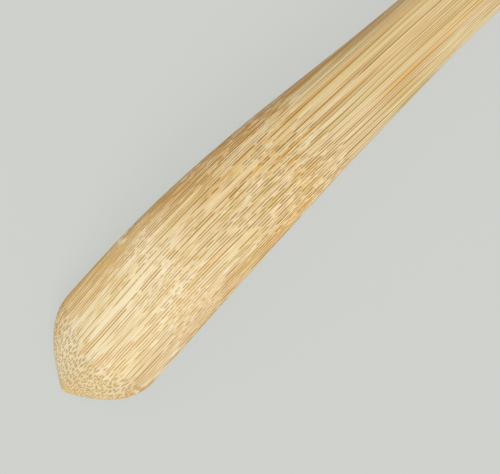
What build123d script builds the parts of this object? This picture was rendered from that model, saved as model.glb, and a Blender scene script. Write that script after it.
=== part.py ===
from build123d import *
import math
import os

# A tea scoop carved from one split strip of bamboo. It lies face down: the carved back is up, the
# bamboo skin is underneath, and it stands on its point and on the lower edge of its cut tail.
# X runs from the point to the tail. A station is a distance along the skin from the point.

# Strip, in millimetres
STRIP_LENGTH = 182.0
BLADE_WIDTH = 10.9
HANDLE_WIDTH = 6.8
TAIL_WIDTH = 5.4
BLADE_THICKNESS = 1.5
NECK_THICKNESS = 2.4
HANDLE_THICKNESS = 2.8
TAIL_THICKNESS = 2.3

# Sword-shaped point: outline and back grow as 1 - (1 - share) ** POINT_POWER
POINT_LENGTH = 6.9
POINT_WIDTH = 0.9
POINT_HEIGHT = 0.45
POINT_POWER = 2.2
RIM_LENGTH = 6.0

# Narrowing from the blade to the handle
NARROW_START = 8.0
NARROW_END = 55.0

# Bend, an arc between the straight blade and the straight handle
BEND_CENTRE = 21.3
BEND_LENGTH = 19.2
BEND_ANGLE = 26.0

# Two long knife cuts that thin the back towards the blade
FIRST_CUT_CENTRE = 14.0
FIRST_CUT_LENGTH = 7.0
FIRST_CUT_DEPTH = 0.3
SECOND_CUT_CENTRE = 27.0
SECOND_CUT_LENGTH = 13.0

# Hollow along the middle of the skin
DISH_DEPTH = 0.4
GROOVE_DEPTH = 0.22
TAIL_GROOVE_DEPTH = 0.1

# Half of a section is one curve, held by points at these shares of the half width
INNER_SHARE = 0.55
OUTER_SHARE = 1.1

# The outer points of the skin are held this much lower, as shares of the hollow and of the thickness,
# so that the curve itself comes down to the skin level beside the hollow
HOLLOW_DROP_SHARE = 1.3
BACK_DROP_SHARE = 0.22

# The back is domed at the point, where its share of the holding points is cut by up to this much
DOME_LENGTH = 13.0
DOME_SHARE = 0.75

# Node of the culm near the middle: a ridge in the skin and a waist in the back
NODE_PLACE = 94.0
NODE_RISE = 0.45
NODE_SPREAD = 2.6
WAIST_DEPTH = 0.35
WAIST_SPREAD = 10.0

# Sections of each stretch, closest at the very point
POINT_SECTION_COUNT = 6
BLADE_SECTION_COUNT = 10
HANDLE_SECTION_COUNT = 6
NODE_SECTION_COUNT = 8

bend_start = BEND_CENTRE - BEND_LENGTH / 2
bend_end = BEND_CENTRE + BEND_LENGTH / 2
second_cut_end = SECOND_CUT_CENTRE + SECOND_CUT_LENGTH / 2
handle_start = max(bend_end, second_cut_end)
node_start = NODE_PLACE - 2 * NODE_SPREAD
node_end = NODE_PLACE + 2 * NODE_SPREAD


def ease(share):
    """Smooth step from 0 to 1."""
    share = min(max(share, 0.0), 1.0)
    return share * share * (3.0 - 2.0 * share)


def bump(station, centre, spread):
    """Rounded hump of height 1."""
    return math.exp(-(((station - centre) / spread) ** 2))


def rising(station, length):
    """Growth from 0 at the point to 1 at this length."""
    return 1.0 - (1.0 - min(station / length, 1.0)) ** POINT_POWER


def on_handle(station):
    """0 on the blade, 1 past the second cut."""
    return ease((station - SECOND_CUT_CENTRE) / SECOND_CUT_LENGTH + 0.5)


def towards_tail(station):
    """0 up to the node, 1 at the tail."""
    return ease((station - NODE_PLACE) / (STRIP_LENGTH - NODE_PLACE))


def half_width(station):
    narrowing = ease((station - NARROW_START) / (NARROW_END - NARROW_START))
    width = BLADE_WIDTH + (HANDLE_WIDTH - BLADE_WIDTH) * narrowing
    width += (TAIL_WIDTH - HANDLE_WIDTH) * towards_tail(station)
    return (POINT_WIDTH + (width - POINT_WIDTH) * rising(station, POINT_LENGTH)) / 2


def thickness(station):
    first_cut = ease((station - FIRST_CUT_CENTRE) / FIRST_CUT_LENGTH + 0.5)
    handle = ease((station - SECOND_CUT_CENTRE) / (NODE_PLACE - SECOND_CUT_CENTRE))
    full = BLADE_THICKNESS + FIRST_CUT_DEPTH * first_cut
    full += (NECK_THICKNESS - BLADE_THICKNESS - FIRST_CUT_DEPTH) * on_handle(station)
    full += (HANDLE_THICKNESS - NECK_THICKNESS) * handle
    full += (TAIL_THICKNESS - HANDLE_THICKNESS) * towards_tail(station)
    full -= WAIST_DEPTH * bump(station, NODE_PLACE, WAIST_SPREAD)
    return POINT_HEIGHT + (full - POINT_HEIGHT) * rising(station, RIM_LENGTH)


def skin_hollow(station):
    """How far the middle of the skin lies inside the strip."""
    depth = DISH_DEPTH + (GROOVE_DEPTH - DISH_DEPTH) * on_handle(station)
    depth += (TAIL_GROOVE_DEPTH - GROOVE_DEPTH) * towards_tail(station)
    return depth * rising(station, POINT_LENGTH)


def node_rise(station):
    """How far the node stands out of the skin."""
    return NODE_RISE * bump(station, NODE_PLACE, NODE_SPREAD)


def half_outline(station):
    """Points that hold half of a section: (across, above the skin), from mid skin to mid back."""
    half = half_width(station)
    top = thickness(station)
    middle = skin_hollow(station) - node_rise(station)
    inner = INNER_SHARE * half
    outer = OUTER_SHARE * half
    domed = 1 - DOME_SHARE * (1 - ease(station / DOME_LENGTH))
    under_edge = -HOLLOW_DROP_SHARE * middle - BACK_DROP_SHARE * top
    # Half way along their curve the seven points weigh 1, 6, 15, 20, 15, 6 and 1 parts of 64, and
    # there the curve has to reach the half width
    widest = (64 * half - (6 * inner + 15 * outer) * (1 + domed)) / 20
    skin_side = [(0, middle), (inner, middle), (outer, under_edge)]
    back_side = [(outer * domed, top), (inner * domed, top), (0, top)]
    return skin_side + [(widest, 0)] + back_side


def along_handle(station):
    """Place (x, z) and slope of the skin, with the handle along X and the end of the bend at 0."""
    radius = BEND_LENGTH / math.radians(BEND_ANGLE)
    slope = math.radians(BEND_ANGLE) * min(max((bend_end - station) / BEND_LENGTH, 0.0), 1.0)
    blade_run = max(bend_start - station, 0.0)
    handle_run = max(station - bend_end, 0.0)
    x = handle_run - radius * math.sin(slope) - blade_run * math.cos(slope)
    z = -radius * (1 - math.cos(slope)) - blade_run * math.sin(slope)
    return x, z, slope


# Tilt that brings the point and the tail to the same height
point_x, point_z, point_slope = along_handle(0.0)
tail_x, tail_z, tail_slope = along_handle(STRIP_LENGTH)
rest_tilt = math.atan2(tail_z - point_z, tail_x - point_x)


def section_plane(station):
    """Plane across the strip: its X is across, its Y points out of the back."""
    x, z, slope = along_handle(station)
    level_x = x * math.cos(rest_tilt) + z * math.sin(rest_tilt)
    level_z = z * math.cos(rest_tilt) - x * math.sin(rest_tilt)
    along = (math.cos(slope - rest_tilt), 0, math.sin(slope - rest_tilt))
    return Plane(origin=(level_x, 0, level_z), x_dir=(0, 1, 0), z_dir=along)


def sections_at(stations):
    """Faces across the strip, each inside one curve to the right and one to the left."""
    sections = []
    for station in stations:
        with BuildLine(section_plane(station)) as outline:
            for side in (1, -1):
                Bezier(*[(side * across, above) for across, above in half_outline(station)])
        sections.append(Face(Wire(outline.edges())))
    return sections


def spread(start, end, count):
    """Stations from start up to, but not at, end."""
    return [start + (end - start) * i / count for i in range(count)]


blade_stations = [POINT_LENGTH * (i / POINT_SECTION_COUNT) ** 2 for i in range(POINT_SECTION_COUNT)]
blade_stations += spread(POINT_LENGTH, handle_start, BLADE_SECTION_COUNT) + [handle_start]
handle_stations = spread(handle_start, node_start, HANDLE_SECTION_COUNT)
handle_stations += spread(node_start, node_end, NODE_SECTION_COUNT)
handle_stations += spread(node_end, STRIP_LENGTH, HANDLE_SECTION_COUNT) + [STRIP_LENGTH]

with BuildPart() as scoop_strip:
    # Blade and bend are one smooth surface, and the handle is planed in straight runs
    loft(sections_at(blade_stations), clean=False)
    loft(sections_at(handle_stations), ruled=True, clean=False)

# The origin is under the middle of the scoop
box = scoop_strip.part.bounding_box()
scoop = scoop_strip.part.moved(Location((-box.center().X, -box.center().Y, -box.min.Z)))
scoop.label = "scoop_strip"
os.makedirs("parts", exist_ok=True)
export_step(scoop, "parts/scoop_strip.step")
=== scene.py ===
import math
from types import SimpleNamespace

import bpy
import numpy as np
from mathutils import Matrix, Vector


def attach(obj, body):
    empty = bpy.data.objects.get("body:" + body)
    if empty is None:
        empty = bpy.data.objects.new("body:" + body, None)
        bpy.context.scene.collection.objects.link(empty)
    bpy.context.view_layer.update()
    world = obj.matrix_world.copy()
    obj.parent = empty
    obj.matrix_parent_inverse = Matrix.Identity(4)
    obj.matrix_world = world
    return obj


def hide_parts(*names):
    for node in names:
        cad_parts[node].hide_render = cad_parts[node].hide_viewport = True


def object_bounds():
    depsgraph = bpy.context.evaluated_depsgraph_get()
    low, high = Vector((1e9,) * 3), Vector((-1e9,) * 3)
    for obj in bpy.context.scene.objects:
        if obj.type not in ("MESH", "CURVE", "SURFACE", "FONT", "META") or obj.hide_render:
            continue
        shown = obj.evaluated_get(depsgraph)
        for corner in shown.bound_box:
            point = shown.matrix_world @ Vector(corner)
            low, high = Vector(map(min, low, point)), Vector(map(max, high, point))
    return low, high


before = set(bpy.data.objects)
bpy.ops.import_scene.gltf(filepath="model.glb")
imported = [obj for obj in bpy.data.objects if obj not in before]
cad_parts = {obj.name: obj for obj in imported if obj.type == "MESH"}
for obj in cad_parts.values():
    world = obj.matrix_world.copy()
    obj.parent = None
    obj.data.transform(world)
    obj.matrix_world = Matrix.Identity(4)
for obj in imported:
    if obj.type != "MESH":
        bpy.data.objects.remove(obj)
cad_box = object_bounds()

MM = 0.001

# The strip, with the same sizes as the solid: millimetres, degrees for the angle, and shares
STRIP_LENGTH = 182.0
BLADE_WIDTH = 10.9
HANDLE_WIDTH = 6.8
TAIL_WIDTH = 5.4
BLADE_THICKNESS = 1.5
NECK_THICKNESS = 2.4
HANDLE_THICKNESS = 2.8
TAIL_THICKNESS = 2.3
POINT_LENGTH = 6.9
POINT_WIDTH = 0.9
POINT_HEIGHT = 0.45
POINT_POWER = 2.2
RIM_LENGTH = 6.0
NARROW_START = 8.0
NARROW_END = 55.0
BEND_CENTRE = 21.3
BEND_LENGTH = 19.2
BEND_ANGLE = 26.0
FIRST_CUT_CENTRE = 14.0
FIRST_CUT_LENGTH = 7.0
FIRST_CUT_DEPTH = 0.3
SECOND_CUT_CENTRE = 27.0
SECOND_CUT_LENGTH = 13.0
DISH_DEPTH = 0.4
GROOVE_DEPTH = 0.22
TAIL_GROOVE_DEPTH = 0.1
INNER_SHARE = 0.55
OUTER_SHARE = 1.1
DOME_LENGTH = 13.0
DOME_SHARE = 0.75
NODE_PLACE = 94.0
NODE_RISE = 0.45
NODE_SPREAD = 2.6
WAIST_DEPTH = 0.35
WAIST_SPREAD = 10.0
HOLLOW_DROP_SHARE = 1.3
BACK_DROP_SHARE = 0.22

HANDLE_START = SECOND_CUT_CENTRE + SECOND_CUT_LENGTH / 2

# Thin ring beside the node where the sheath of the culm came off, on the skin side
SCAR_PLACE = NODE_PLACE + 2.4
SCAR_RISE = 0.1
SCAR_SPREAD = 0.3

# How far round half a section the skin reaches, and the stretch in which it gives way to the cut, as shares
SKIN_SHARE = 0.36
SKIN_FADE = 0.12

# How finely the mesh follows the strip: (end of the stretch, step along it), steps round half a section, and
# the angle in degrees from which an edge is sharp
RING_STEPS = [(3.0, 0.1), (60.0, 0.25), (88.0, 0.5), (100.0, 0.2), (STRIP_LENGTH, 0.6)]
HALF_STEPS = 44
SHARP_ANGLE = 50

# Fibre bundles: how far apart they are across and in depth, how long each stays dark on the blade and on
# the handle, and how steeply they come out of the blade's back
BUNDLE_ACROSS = 0.235
BUNDLE_DEPTH = 0.08
BLADE_RUN = 11.0
HANDLE_RUN = 40.0
BUNDLE_SLOPE = 0.011

# Stretch in which the bundles bend down under the cut back, and by how much, so that many lines end there
DIP_START = 8.0
DIP_END = 24.0
DIP_DEPTH = 0.4

# On the rounded sides the bundles lie closer together, by this share of the fall from the middle of the back,
# and the fall counts as depth only up to this limit
SIDE_LANES = 0.6
FALL_LIMIT = 0.2

# How far the open ends and sides of the bundles stand out of the cut back
FIBRE_RELIEF = 0.008

# Kinds of line in the grain: lanes and layers for each bundle, a seed, and half the width of the thinnest and
# of the thickest line as shares of a lane
COARSE_LINES = (1.0, 1.0, 0.0, 0.16, 0.29)
FINE_LINES = (1.5, 1.4, 31.4, 0.18, 0.34)
LIGHT_LINES = (1.3, 0.25, 57.2, 0.12, 0.28)
GAP_LINES = (0.5, 0.5, 12.6, 0.15, 0.42)

# How far apart the lanes lie in the noise that makes them come and go, the noise over which a line comes in,
# how soft its sides are as a share of a lane, and how strong the faintest line is
LANE_SPACING = 400.0
LINE_MET = (0.345, 0.51)
LINE_SOFTNESS = 0.08
FAINTEST_LINE = 0.6

# The draw from which a wide lane starts to open as a pale gap, and from which it is fully open
GAP_DRAW = (0.40, 0.65)

# Dots where the fibres are cut across: how many lie across and in depth in each millimetre, at the rim and on
# the tail, how irregular they are, and how far from its middle a dot starts and is full, in their spacing
RIM_DOT_RATE = (1.2 / BUNDLE_ACROSS, 0.75 / BUNDLE_DEPTH, 0.0)
TAIL_DOT_RATE = (1 / 0.26, 1 / 0.2, 0.0)
DOT_DISORDER = 0.8
DOT_REACH = (0.46, 0.18)

# Noise: how often it changes across, in depth and along, for each millimetre
DRIFT_RATE = (0.5, 0.5, 0.06)
EDGE_PATCH_RATE = (2.0, 2.0, 1 / 3.0)
SKIN_RATE = (2.0, 2.0, 1 / 30.0)
SCAR_RATE = (2.0, 2.0, 1.0)

# The same for each bundle across, in depth and along, and how far the lines sway, in bundles
BROAD_RATE = (1 / 3.4, 1 / 6.0, 0.6)
STREAK_RATE = (0.5, 0.2, 0.8)
SWAY_REACH = (1.8, 1.1, 0.0)

# Places along the strip where a look starts and is full, in millimetres; the last two are distances from the
# node and from the ring
RIM_LOOK = (6.0, 1.0)
FACET_LOOK = (0.75, 0.45)
HANDLE_LOOK = (12.0, 26.0)
PAST_BEND_LOOK = (33.0, 46.0)
RIGHT_EDGE_LOOK = (31.0, 23.0)
# Where the painted shade on the right edge of the blade starts and is full along the strip
PAINTED_SHADE_LOOK = (26.0, 14.0)
TAIL_LOOK = (STRIP_LENGTH - 0.1, STRIP_LENGTH)
NODE_LOOK = (4.0, 1.0)
SCAR_LOOK = (0.34, 0.06)

# Shares of the half width where a look starts and is full: the first on both sides, the others positive on
# the left side of the photo
NEAR_EDGE = (0.55, 0.85)
EDGE_TINT_SHARE = (0.58, 0.97)
# Where the painted shade on the right edge of the blade starts and is full across it
PAINTED_SHADE_SHARE = (-0.45, -0.9)

# How much the share counts on the right side, so that the edge tint starts further out there
RIGHT_EDGE_COUNT = 0.9

# Slopes of the surface against the fibres where lines give way to dots
DOTTED_SLOPE = (0.07, 0.12)

# Noise over which a tint comes in
SHADE_NOISE = (0.30, 0.70)
WARM_NOISE = (0.53, 0.64)
YELLOW_NOISE = (0.47, 0.36)
EDGE_NOISE = (0.36, 0.56)
SKIN_NOISE = (0.3, 0.7)

# Ragged line of the scar's colour: how far it strays, and where it lies from the ring, in millimetres
SCAR_STRAY = 0.5
SCAR_SHIFT = -0.2

# Strengths that change from the blade to the handle, or from the bend to what lies past it
STREAK_STRENGTH = (0.35, 1.25)
EDGE_STRENGTH = (0.8, 0.55)
COARSE_STRENGTH = (1.0, 0.6)

# Strength of the fine lines, and what the closer lines at the edges add to it
FINE_STRENGTH = 0.55
FINE_EDGE_GAIN = 0.2

# How much of the pale gaps the rim takes away
RIM_GAP_LOSS = 0.7

# Roughness of the cut bamboo and of the skin, and what an open fibre adds to it
CUT_ROUGHNESS = 0.5
SKIN_ROUGHNESS = 0.34
FIBRE_ROUGHNESS = 0.12

# Colours, as 8-bit screen values
BLADE_PALE = (245, 231, 198)
BLADE_DEEP = (235, 212, 160)
HANDLE_PALE = (240, 221, 177)
HANDLE_DEEP = (224, 190, 122)
RIM_GROUND = (216, 193, 145)
WARM_STREAK = (221, 166, 74)
YELLOW_STREAK = (214, 184, 92)
EDGE_TINT = (209, 154, 72)
LIGHT_LINE = (253, 240, 208)
BLADE_GAP = (246, 230, 194)
HANDLE_GAP = (236, 210, 154)
FINE_YELLOW = (205, 172, 106)
FINE_RED = (202, 158, 86)
HANDLE_FINE = (184, 142, 72)
COARSE_YELLOW = (192, 156, 84)
COARSE_RED = (194, 145, 71)
HANDLE_COARSE_YELLOW = (158, 120, 53)
HANDLE_COARSE_RED = (165, 109, 44)
DOT_BROWN = (172, 138, 80)
# Dark brown laid over the right edge of the blade as painted shade
PAINTED_SHADE_BROWN = (104, 80, 46)
FACET_TAN = (210, 182, 122)
SKIN_PALE = (226, 196, 134)
SKIN_DEEP = (205, 166, 98)
NODE_BROWN = (188, 140, 76)
SCAR_BROWN = (140, 98, 54)
FLOOR_GREY = (209, 211, 207)
BACKDROP_GREY = (196, 198, 194)

# Stains and pale patches on one side of the back: place along, reach, shares of the half width where each
# starts and is full, strength and colour; and the share of the reach that has the full strength
STAINS = [(22.0, 6.0, 0.0, 0.65, 0.48, (212, 163, 80)),
          (9.5, 5.0, 0.2, 0.8, 0.6, (222, 184, 100)),
          (1.5, 4.0, -0.2, 0.6, 0.6, (243, 227, 190)),
          (34.5, 6.0, -0.1, -0.5, 0.6, (241, 223, 180)),
          (52.0, 10.0, -0.05, -0.4, 0.35, (212, 168, 86)),
          (52.0, 12.0, -0.45, -0.75, 0.7, (240, 221, 177))]
STAIN_CORE = 0.3

# Floor: its reach and how far it lies below the scoop, in metres, its roughness, and the glow that lifts the
# shadow for the camera, with its share in the floor's look
FLOOR_REACH = 12.0
FLOOR_DROP = 0.0001
FLOOR_ROUGHNESS = 0.9
FLOOR_GLOW = 0.98
FLOOR_GLOW_SHARE = 0.82

# Light: the even light all round, and a round lamp like a window, in metres, degrees and watts
WORLD_LIGHT = 0.48
LAMP_SIZE = 0.45
LAMP_ENERGY = 1.9
LAMP_AZIMUTH = -40.0
LAMP_ELEVATION = 52.0
LAMP_DISTANCE = 0.5

# Camera: the photo's viewing angle in degrees, its distance and lens in millimetres, the nearest thing it
# sees in metres, and how far its aim lies from the middle of the bend in millimetres
CAMERA_AZIMUTH = -44.2
CAMERA_ELEVATION = 76.0
CAMERA_DISTANCE = 108.5
CAMERA_LENS = 90.0
CAMERA_NEAR = 0.005
AIM_OFFSET = Vector((0.77, -2.82, 0.0))


def ease(share):
    """Smooth step from 0 to 1."""
    share = np.clip(share, 0.0, 1.0)
    return share * share * (3.0 - 2.0 * share)


def bump(station, centre, spread):
    """Rounded hump of height 1."""
    return np.exp(-(((station - centre) / spread) ** 2))


def rising(station, length):
    """Growth from 0 at the point to 1 at this length."""
    return 1.0 - (1.0 - np.minimum(station / length, 1.0)) ** POINT_POWER


def past_second_cut(station):
    """0 on the blade, 1 on the handle."""
    return ease((station - SECOND_CUT_CENTRE) / SECOND_CUT_LENGTH + 0.5)


def towards_tail(station):
    """0 up to the node, 1 at the tail."""
    return ease((station - NODE_PLACE) / (STRIP_LENGTH - NODE_PLACE))


def half_width(station):
    narrowing = ease((station - NARROW_START) / (NARROW_END - NARROW_START))
    width = BLADE_WIDTH + (HANDLE_WIDTH - BLADE_WIDTH) * narrowing
    width = width + (TAIL_WIDTH - HANDLE_WIDTH) * towards_tail(station)
    return (POINT_WIDTH + (width - POINT_WIDTH) * rising(station, POINT_LENGTH)) / 2


def thickness(station):
    first_cut = ease((station - FIRST_CUT_CENTRE) / FIRST_CUT_LENGTH + 0.5)
    handle = ease((station - SECOND_CUT_CENTRE) / (NODE_PLACE - SECOND_CUT_CENTRE))
    full = BLADE_THICKNESS + FIRST_CUT_DEPTH * first_cut
    full = full + (NECK_THICKNESS - BLADE_THICKNESS - FIRST_CUT_DEPTH) * past_second_cut(station)
    full = full + (HANDLE_THICKNESS - NECK_THICKNESS) * handle
    full = full + (TAIL_THICKNESS - HANDLE_THICKNESS) * towards_tail(station)
    full = full - WAIST_DEPTH * bump(station, NODE_PLACE, WAIST_SPREAD)
    return POINT_HEIGHT + (full - POINT_HEIGHT) * rising(station, RIM_LENGTH)


def skin_middle(station):
    """How far the middle of the skin lies inside the strip: a hollow, and the node's ridge."""
    depth = DISH_DEPTH + (GROOVE_DEPTH - DISH_DEPTH) * past_second_cut(station)
    depth = depth + (TAIL_GROOVE_DEPTH - GROOVE_DEPTH) * towards_tail(station)
    return depth * rising(station, POINT_LENGTH) - NODE_RISE * bump(station, NODE_PLACE, NODE_SPREAD)


def half_sections(stations):
    """Across and above the skin, for each station and each step from mid skin round to mid back."""
    half = half_width(stations)[:, None]
    top = thickness(stations)[:, None]
    middle = skin_middle(stations)[:, None]
    under_edge = -HOLLOW_DROP_SHARE * middle - BACK_DROP_SHARE * top
    zero = np.zeros_like(half)
    pull = 1.0 - DOME_SHARE * (1.0 - ease(stations / DOME_LENGTH))[:, None]

    # Seven points hold each curve; the fourth lies where it brings the curve out to the half width
    degree = 6
    binomial = [math.comb(degree, i) for i in range(degree + 1)]
    held_out = (binomial[1] * INNER_SHARE + binomial[2] * OUTER_SHARE) * (1 + pull)
    widest = (sum(binomial) - held_out) / binomial[3]
    held_across = [zero, INNER_SHARE * half, OUTER_SHARE * half, widest * half,
                   OUTER_SHARE * pull * half, INNER_SHARE * pull * half, zero]
    held_above = [middle, middle, under_edge, zero, top, top, top]

    turn = np.linspace(0.0, 1.0, HALF_STEPS + 1)[None, :]
    across = 0.0
    above = 0.0
    for i in range(degree + 1):
        weight = binomial[i] * turn ** i * (1.0 - turn) ** (degree - i)
        across = across + weight * held_across[i]
        above = above + weight * held_above[i]
    skin = 1.0 - ease((turn - SKIN_SHARE) / SKIN_FADE) + np.zeros_like(across)
    scar = SCAR_RISE * bump(stations, SCAR_PLACE, SCAR_SPREAD)[:, None]
    return across, above - scar * skin, skin


def along_handle(station):
    """Place (x, z) and slope of the skin, with the handle along X and the end of the bend at 0."""
    bend_start = BEND_CENTRE - BEND_LENGTH / 2
    bend_end = BEND_CENTRE + BEND_LENGTH / 2
    radius = BEND_LENGTH / math.radians(BEND_ANGLE)
    slope = math.radians(BEND_ANGLE) * np.clip((bend_end - station) / BEND_LENGTH, 0.0, 1.0)
    blade_run = np.maximum(bend_start - station, 0.0)
    handle_run = np.maximum(station - bend_end, 0.0)
    x = handle_run - radius * np.sin(slope) - blade_run * np.cos(slope)
    z = -radius * (1 - np.cos(slope)) - blade_run * np.sin(slope)
    return x, z, slope


def in_row_frame(station, above):
    """Place (x, z) of a height above the skin, in millimetres, before the scoop is set on the floor."""
    point_x, point_z = along_handle(0.0)[:2]
    tail_x, tail_z = along_handle(STRIP_LENGTH)[:2]
    tilt = math.atan2(tail_z - point_z, tail_x - point_x)
    x, z, slope = along_handle(station)
    heading = slope - tilt
    level_x = x * math.cos(tilt) + z * math.sin(tilt) - above * np.sin(heading)
    level_z = z * math.cos(tilt) - x * math.sin(tilt) + above * np.cos(heading)
    return level_x, level_z


def ring_stations():
    """Places of the rings along the strip, closer together where the shape changes faster."""
    stretches = []
    start = 0.0
    for end, step in RING_STEPS:
        stretches.append(np.linspace(start, end, round((end - start) / step), endpoint=False))
        start = end
    return np.append(np.concatenate(stretches), STRIP_LENGTH)


def ring_faces(rings, columns):
    """Faces with four corners between the rings, and one face over each end, all turned outward."""
    faces = []
    for ring in range(rings - 1):
        here = ring * columns
        ahead = here + columns
        for column in range(columns):
            right = (column + 1) % columns
            faces.append((here + column, here + right, ahead + right, ahead + column))
    last = (rings - 1) * columns
    faces.append(tuple(reversed(range(columns))))
    faces.append(tuple(range(last, last + columns)))
    return faces


def bundle_places(across, above, along):
    """Which fibre bundle each vertex meets: lane across, layer in depth, and how far along the bundle."""
    blade = np.minimum(along, HANDLE_START)
    run = blade / BLADE_RUN + (along - blade) / HANDLE_RUN
    dip = DIP_DEPTH * ease((along - DIP_START) / (DIP_END - DIP_START))
    top = thickness(along)
    fall = np.maximum(top - above, 0.0)
    lane = across + SIDE_LANES * np.sign(across) * fall
    depth = top - FALL_LIMIT * (1.0 - np.exp(-fall / FALL_LIMIT)) + BUNDLE_SLOPE * blade + dip
    return np.stack([lane / BUNDLE_ACROSS, depth / BUNDLE_DEPTH, run], axis=2)


def slope_against_fibres(grain, stations):
    """0 where the surface runs along the fibres, 1 where it cuts straight across them."""
    forward = np.gradient(grain, stations, axis=0)
    round_ring = np.roll(grain, -1, axis=1) - np.roll(grain, 1, axis=1)
    outward = np.cross(round_ring, forward)
    return np.abs(outward[:, :, 2]) / np.linalg.norm(outward, axis=2)


def keep(mesh, name, values):
    """Stores a vector or a number beside each vertex."""
    if values.ndim == 3:
        kept = mesh.attributes.new(name, "FLOAT_VECTOR", "POINT")
        kept.data.foreach_set("vector", values.ravel())
    else:
        kept = mesh.attributes.new(name, "FLOAT", "POINT")
        kept.data.foreach_set("value", values.ravel())


def make_strip():
    """The scoop as one grid of rings, with the place of each vertex in the bamboo kept beside it."""
    stations = ring_stations()
    across, above, skin = half_sections(stations)
    across = np.concatenate([across, -across[:, -2:0:-1]], axis=1)
    above = np.concatenate([above, above[:, -2:0:-1]], axis=1)
    skin = np.concatenate([skin, skin[:, -2:0:-1]], axis=1)
    along = np.repeat(stations[:, None], across.shape[1], axis=1)
    x, z = in_row_frame(along, above)
    corners = np.stack([x, across, z], axis=2).reshape(-1, 3) * MM
    corners[:, 0] += cad_box[0].x - corners[:, 0].min()
    corners[:, 2] += cad_box[0].z - corners[:, 2].min()

    mesh = bpy.data.meshes.new("scoop")
    mesh.from_pydata(corners.tolist(), [], ring_faces(*across.shape))
    grain = np.stack([across, above, along], axis=2)
    keep(mesh, "grain", grain)
    keep(mesh, "bundle", bundle_places(across, above, along))
    keep(mesh, "side", across / half_width(along))
    keep(mesh, "skin", skin)
    keep(mesh, "steep", slope_against_fibres(grain, stations))
    mesh.update()
    mesh.shade_smooth()
    mesh.set_sharp_from_angle(angle=math.radians(SHARP_ANGLE))
    return mesh


def linear(colour):
    """A colour given as 8-bit screen values, in the linear values that shaders take."""
    parts = []
    for value in colour:
        share = value / 255
        parts.append(share / 12.92 if share <= 0.04045 else ((share + 0.055) / 1.055) ** 2.4)
    return (*parts, 1.0)


class Shader:
    """Short calls for the nodes of one material, or of the world."""

    def __init__(self, owner):
        self.owner = owner
        owner.use_nodes = True
        self.tree = owner.node_tree

    def feed(self, socket, value):
        """Links another node's output to an input, or sets the input's own value."""
        if isinstance(value, bpy.types.NodeSocket):
            self.tree.links.new(value, socket)
        else:
            socket.default_value = value

    def node(self, kind, inputs=(), **settings):
        made = self.tree.nodes.new("ShaderNode" + kind)
        for name, value in settings.items():
            setattr(made, name, value)
        for name, value in dict(inputs).items():
            self.feed(made.inputs[name], value)
        return made

    def attribute(self, name, output="Fac"):
        """What the mesh keeps beside each vertex."""
        return self.node("Attribute", attribute_name=name).outputs[output]

    def math(self, operation, first, second=0.0, third=0.0):
        return self.node("Math", {0: first, 1: second, 2: third}, operation=operation).outputs[0]

    def times(self, first, *others):
        """Product of two or more values."""
        product = first
        for other in others:
            product = self.math("MULTIPLY", product, other)
        return product

    def rest(self, share):
        """What a share leaves of 1."""
        return self.math("SUBTRACT", 1.0, share)

    def distance(self, value, centre):
        return self.math("ABSOLUTE", self.math("SUBTRACT", value, centre))

    def fade(self, value, start, end):
        """0 where value is start, 1 where it is end, smooth between."""
        inputs = {"Value": value, "From Min": start, "From Max": end}
        return self.node("MapRange", inputs, interpolation_type="SMOOTHSTEP").outputs[0]

    def between(self, share, low, high):
        """Low where the share is 0, high where it is 1."""
        return self.node("MapRange", {"Value": share, "To Min": low, "To Max": high}).outputs[0]

    def blend(self, share, first, second, strength=1.0):
        """Lays the second colour over the first; each is an output or three 8-bit screen values."""
        colours = [linear(colour) if isinstance(colour, tuple) else colour for colour in (first, second)]
        # A Mix node takes colours at its inputs 6 and 7 and gives one at its output 2
        inputs = {0: self.times(share, strength), 6: colours[0], 7: colours[1]}
        return self.node("Mix", inputs, data_type="RGBA").outputs[2]

    def scaled(self, vector, factors):
        return self.node("VectorMath", {0: vector, 1: factors}, operation="MULTIPLY").outputs[0]

    def noise(self, vector, rate=None, detail=1.0, output="Fac"):
        """Soft noise round 0.5 that changes at this rate."""
        place = vector if rate is None else self.scaled(vector, rate)
        return self.node("TexNoise", {"Vector": place, "Scale": 1.0, "Detail": detail}).outputs[output]

    def background_rays(self):
        """1 for rays that show the background: to the camera, or by way of a shiny or clear surface."""
        rays = self.node("LightPath").outputs
        indirect = self.math("MAXIMUM", rays["Is Glossy Ray"], rays["Is Transmission Ray"])
        return self.math("MAXIMUM", rays["Is Camera Ray"], indirect)


def bamboo_places(shader):
    """Where a point lies in the bamboo, and which looks reach it."""
    at = SimpleNamespace()
    at.grain = shader.attribute("grain", "Vector")
    at.bundle = shader.attribute("bundle", "Vector")
    at.side = shader.attribute("side")
    at.along = shader.node("SeparateXYZ", {0: at.grain}).outputs["Z"]
    at.tail = shader.fade(at.along, *TAIL_LOOK)
    at.skin = shader.times(shader.attribute("skin"), shader.rest(at.tail))
    cut_across = shader.fade(shader.attribute("steep"), *DOTTED_SLOPE)
    at.dotted = shader.math("MAXIMUM", cut_across, at.tail)
    at.lined = shader.rest(at.dotted)
    at.rim = shader.fade(at.along, *RIM_LOOK)
    at.inside = shader.rest(at.rim)
    at.handle = shader.fade(at.along, *HANDLE_LOOK)
    at.past_bend = shader.fade(at.along, *PAST_BEND_LOOK)
    at.near_edge = shader.fade(shader.math("ABSOLUTE", at.side), *NEAR_EDGE)
    return at


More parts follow.
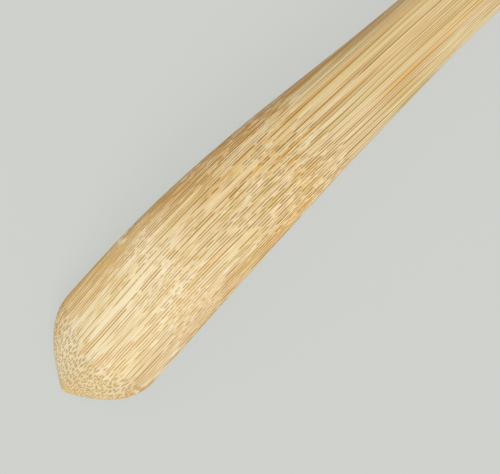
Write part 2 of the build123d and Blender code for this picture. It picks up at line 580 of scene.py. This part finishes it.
def fibre_lines(shader, bundle, lanes, layers, seed, thin, thick):
    """Lines, one in each lane, that come and go as its bundles meet the surface, and a draw for each lane."""
    across = shader.math("MULTIPLY_ADD", bundle["X"], lanes, seed)
    lane = shader.math("ROUND", across)
    drawn = shader.node("TexWhiteNoise", {"W": lane}, noise_dimensions="1D").outputs["Color"]
    width_draw, tint_draw, lane_draw = shader.node("SeparateColor", {0: drawn}).outputs
    spot = shader.node("CombineXYZ", {0: shader.times(lane_draw, LANE_SPACING),
                                      1: shader.times(bundle["Y"], layers),
                                      2: shader.times(bundle["Z"], layers)})
    met = shader.fade(shader.noise(spot.outputs[0]), *LINE_MET)
    width = shader.times(shader.between(width_draw, thin, thick), met)
    past_side = shader.math("SUBTRACT", shader.distance(across, lane), width)
    profile = shader.fade(past_side, LINE_SOFTNESS, -LINE_SOFTNESS)
    bold = shader.between(lane_draw, FAINTEST_LINE, 1.0)
    return shader.times(profile, met, bold), tint_draw


def fibre_dots(shader, at):
    """Dots where the fibres are cut across, at the rim and on the tail."""
    rim_spot = shader.scaled(at.grain, RIM_DOT_RATE)
    tail_spot = shader.scaled(at.grain, TAIL_DOT_RATE)
    # A Mix node takes vectors at its inputs 4 and 5 and gives one at its output 1
    spot = shader.node("Mix", {0: at.tail, 4: rim_spot, 5: tail_spot}, data_type="VECTOR").outputs[1]
    inputs = {"Vector": spot, "Scale": 1.0, "Randomness": DOT_DISORDER}
    cell = shader.node("TexVoronoi", inputs, voronoi_dimensions="2D")
    return shader.times(shader.fade(cell.outputs["Distance"], *DOT_REACH), at.dotted)


def fibre_marks(shader, at):
    """All lines and dots of the grain, where they show, and the draws that tint the dark lines."""
    drift = shader.noise(at.grain, DRIFT_RATE, output="Color")
    centred = shader.node("VectorMath", {0: drift, 1: (0.5, 0.5, 0.5)}, operation="SUBTRACT").outputs[0]
    sway = shader.scaled(centred, SWAY_REACH)
    swayed = shader.node("VectorMath", {0: at.bundle, 1: sway}, operation="ADD").outputs[0]
    bundle = shader.node("SeparateXYZ", {0: swayed}).outputs

    marks = SimpleNamespace()
    coarse, marks.coarse_draw = fibre_lines(shader, bundle, *COARSE_LINES)
    fine, marks.fine_draw = fibre_lines(shader, bundle, *FINE_LINES)
    light = fibre_lines(shader, bundle, *LIGHT_LINES)[0]
    gap, gap_draw = fibre_lines(shader, bundle, *GAP_LINES)
    gap = shader.times(gap, shader.fade(gap_draw, *GAP_DRAW), shader.rest(at.near_edge))
    shown = shader.times(at.lined, shader.rest(gap))
    off_rim = shader.math("MULTIPLY_ADD", at.rim, -RIM_GAP_LOSS, 1.0)
    fine_strength = shader.math("MULTIPLY_ADD", at.near_edge, FINE_EDGE_GAIN, FINE_STRENGTH)
    marks.light = shader.times(light, at.lined)
    marks.gap = shader.times(gap, at.lined, off_rim)
    marks.fine = shader.times(fine, shown, fine_strength)
    marks.coarse = shader.times(coarse, shown, shader.between(at.past_bend, *COARSE_STRENGTH))
    marks.dots = fibre_dots(shader, at)
    return marks


def ground_colour(shader, at):
    """The soft bamboo between the fibres, with its streaks, stains and darker edges."""
    shade = shader.fade(shader.noise(at.bundle, BROAD_RATE, 2.0), *SHADE_NOISE)
    blade = shader.blend(shade, BLADE_PALE, BLADE_DEEP)
    handle = shader.blend(shade, HANDLE_PALE, HANDLE_DEEP)
    ground = shader.blend(at.handle, blade, handle)
    ground = shader.blend(at.rim, ground, RIM_GROUND, strength=0.9)

    tone = shader.noise(at.bundle, STREAK_RATE)
    streaked = shader.between(at.handle, *STREAK_STRENGTH)
    warm = shader.times(shader.fade(tone, *WARM_NOISE), streaked)
    ground = shader.blend(warm, ground, WARM_STREAK, strength=0.65)
    yellow = shader.times(shader.fade(tone, *YELLOW_NOISE), streaked)
    ground = shader.blend(yellow, ground, YELLOW_STREAK, strength=0.55)

    for centre, reach, start, full, strength, tint in STAINS:
        near = shader.fade(shader.distance(at.along, centre), reach, STAIN_CORE * reach)
        stain = shader.times(near, shader.fade(at.side, start, full))
        ground = shader.blend(stain, ground, tint, strength)

    right_side = shader.times(at.side, shader.fade(at.along, *RIGHT_EDGE_LOOK), -RIGHT_EDGE_COUNT)
    off_middle = shader.math("MAXIMUM", at.side, right_side)
    patch = shader.fade(shader.noise(at.grain, EDGE_PATCH_RATE), *EDGE_NOISE)
    edge = shader.times(shader.fade(off_middle, *EDGE_TINT_SHARE), patch, at.inside,
                        shader.between(at.past_bend, *EDGE_STRENGTH))
    return shader.blend(edge, ground, EDGE_TINT)


def back_colour(shader, at, marks):
    """The cut back: ground, pale lines and gaps, dark lines and dots, then painted shade on the right edge of
    the blade, and the point.
    """
    colour = shader.blend(marks.light, ground_colour(shader, at), LIGHT_LINE, strength=0.7)
    cream = shader.blend(at.handle, BLADE_GAP, HANDLE_GAP)
    colour = shader.blend(marks.gap, colour, cream, strength=0.65)
    gold = shader.blend(marks.fine_draw, FINE_YELLOW, FINE_RED)
    gold = shader.blend(at.handle, gold, HANDLE_FINE)
    colour = shader.blend(marks.fine, colour, gold)
    brown = shader.blend(marks.coarse_draw, COARSE_YELLOW, COARSE_RED)
    dark_brown = shader.blend(marks.coarse_draw, HANDLE_COARSE_YELLOW, HANDLE_COARSE_RED)
    brown = shader.blend(at.handle, brown, dark_brown)
    colour = shader.blend(marks.coarse, colour, brown)
    colour = shader.blend(marks.dots, colour, DOT_BROWN, strength=0.78)
    # Painted shade: dark brown laid over the right edge of the blade, short of the rim
    turned = shader.times(shader.fade(at.side, *PAINTED_SHADE_SHARE), shader.fade(at.along, *PAINTED_SHADE_LOOK), at.inside)
    colour = shader.blend(turned, colour, PAINTED_SHADE_BROWN, strength=0.16)
    return shader.blend(shader.fade(at.along, *FACET_LOOK), colour, FACET_TAN, strength=0.75)


def skin_colour(shader, at):
    """The outer skin of the culm, stained at the node, with the ragged scar of the sheath beside it."""
    tone = shader.fade(shader.noise(at.grain, SKIN_RATE, 3.0), *SKIN_NOISE)
    colour = shader.blend(tone, SKIN_PALE, SKIN_DEEP)
    at_node = shader.fade(shader.distance(at.along, NODE_PLACE), *NODE_LOOK)
    colour = shader.blend(at_node, colour, NODE_BROWN, strength=0.3)
    ragged = shader.noise(at.grain, SCAR_RATE, 2.0)
    strayed = shader.math("MULTIPLY_ADD", ragged, SCAR_STRAY, at.along)
    scar = shader.fade(shader.distance(strayed, SCAR_PLACE + SCAR_SHIFT), *SCAR_LOOK)
    return shader.blend(scar, colour, SCAR_BROWN, strength=0.65)


def bamboo():
    """Bamboo as a solid: bundles of fibres run along it, and the cuts show them as lines, dashes or dots."""
    shader = Shader(bpy.data.materials.new("bamboo"))
    surface = shader.tree.nodes["Principled BSDF"].inputs
    at = bamboo_places(shader)
    marks = fibre_marks(shader, at)
    colour = shader.blend(at.skin, back_colour(shader, at, marks), skin_colour(shader, at))
    shader.feed(surface["Base Color"], colour)
    open_fibre = shader.times(shader.math("MAXIMUM", marks.coarse, marks.dots), shader.rest(at.skin))
    closed_roughness = shader.between(at.skin, CUT_ROUGHNESS, SKIN_ROUGHNESS)
    roughness = shader.math("MULTIPLY_ADD", open_fibre, FIBRE_ROUGHNESS, closed_roughness)
    shader.feed(surface["Roughness"], roughness)
    relief = {"Strength": 1.0, "Distance": FIBRE_RELIEF * MM, "Height": open_fibre}
    shader.feed(surface["Normal"], shader.node("Bump", relief).outputs[0])
    return shader.owner


def pale_floor():
    """Pale grey floor that shows only part of the shadow to the camera, as a lit backdrop does."""
    shader = Shader(bpy.data.materials.new("floor"))
    surface = shader.tree.nodes["Principled BSDF"]
    colour = linear(FLOOR_GREY)
    shader.feed(surface.inputs["Base Color"], colour)
    shader.feed(surface.inputs["Roughness"], FLOOR_ROUGHNESS)
    glow = shader.node("Emission", {"Color": colour, "Strength": FLOOR_GLOW}).outputs[0]
    share = shader.times(shader.background_rays(), FLOOR_GLOW_SHARE)
    mixed = shader.node("MixShader", {0: share, 1: surface.outputs[0], 2: glow}).outputs[0]
    shader.feed(shader.tree.nodes["Material Output"].inputs["Surface"], mixed)
    return shader.owner


def studio_world():
    """Even white light, and a pale grey backdrop behind everything."""
    shader = Shader(bpy.data.worlds.new("studio"))
    light = shader.tree.nodes["Background"]
    shader.feed(light.inputs["Color"], (1.0, 1.0, 1.0, 1.0))
    shader.feed(light.inputs["Strength"], WORLD_LIGHT)
    backdrop = shader.node("Background", {"Color": linear(BACKDROP_GREY)})
    either = {0: shader.background_rays(), 1: light.outputs[0], 2: backdrop.outputs[0]}
    mixed = shader.node("MixShader", either).outputs[0]
    shader.feed(shader.tree.nodes["World Output"].inputs["Surface"], mixed)
    return shader.owner


def add_object(name, data):
    made = bpy.data.objects.new(name, data)
    bpy.context.scene.collection.objects.link(made)
    return made


def place(item, aim, azimuth, elevation, distance):
    """Puts a camera or lamp at a distance from its aim, looking at it."""
    turn = math.radians(azimuth)
    rise = math.radians(elevation)
    back = Vector((math.sin(turn) * math.cos(rise), -math.cos(turn) * math.cos(rise), math.sin(rise)))
    item.location = aim + back * distance
    item.rotation_euler = back.to_track_quat("Z", "Y").to_euler()


scoop = add_object("scoop", make_strip())
scoop.data.materials.append(bamboo())
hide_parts("scoop_strip")
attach(scoop, "root")

# Floor and soft light
floor_mesh = bpy.data.meshes.new("floor")
floor_corners = [(-FLOOR_REACH, -FLOOR_REACH, 0), (FLOOR_REACH, -FLOOR_REACH, 0),
                 (FLOOR_REACH, FLOOR_REACH, 0), (-FLOOR_REACH, FLOOR_REACH, 0)]
floor_mesh.from_pydata(floor_corners, [], [(0, 1, 2, 3)])
floor_mesh.materials.append(pale_floor())
floor = add_object("floor", floor_mesh)
floor.location.z = cad_box[0].z - FLOOR_DROP

bpy.context.scene.world = studio_world()

bend_x, bend_z = in_row_frame(BEND_CENTRE, 0.0)
tip_x, tip_z = in_row_frame(0.0, 0.0)
bend = Vector((cad_box[0].x + (bend_x - tip_x) * MM, 0.0, (bend_z - tip_z) * MM))

lamp_data = bpy.data.lights.new("window", "AREA")
lamp_data.shape = "DISK"
lamp_data.size = LAMP_SIZE
lamp_data.energy = LAMP_ENERGY
lamp = add_object("window", lamp_data)
place(lamp, bend, LAMP_AZIMUTH, LAMP_ELEVATION, LAMP_DISTANCE)

# Camera
camera_data = bpy.data.cameras.new("camera")
camera_data.lens = CAMERA_LENS
camera_data.clip_start = CAMERA_NEAR
camera = add_object("camera", camera_data)
place(camera, bend + AIM_OFFSET * MM, CAMERA_AZIMUTH, CAMERA_ELEVATION, CAMERA_DISTANCE * MM)
bpy.context.scene.camera = camera
bpy.context.scene.view_settings.view_transform = "Standard"
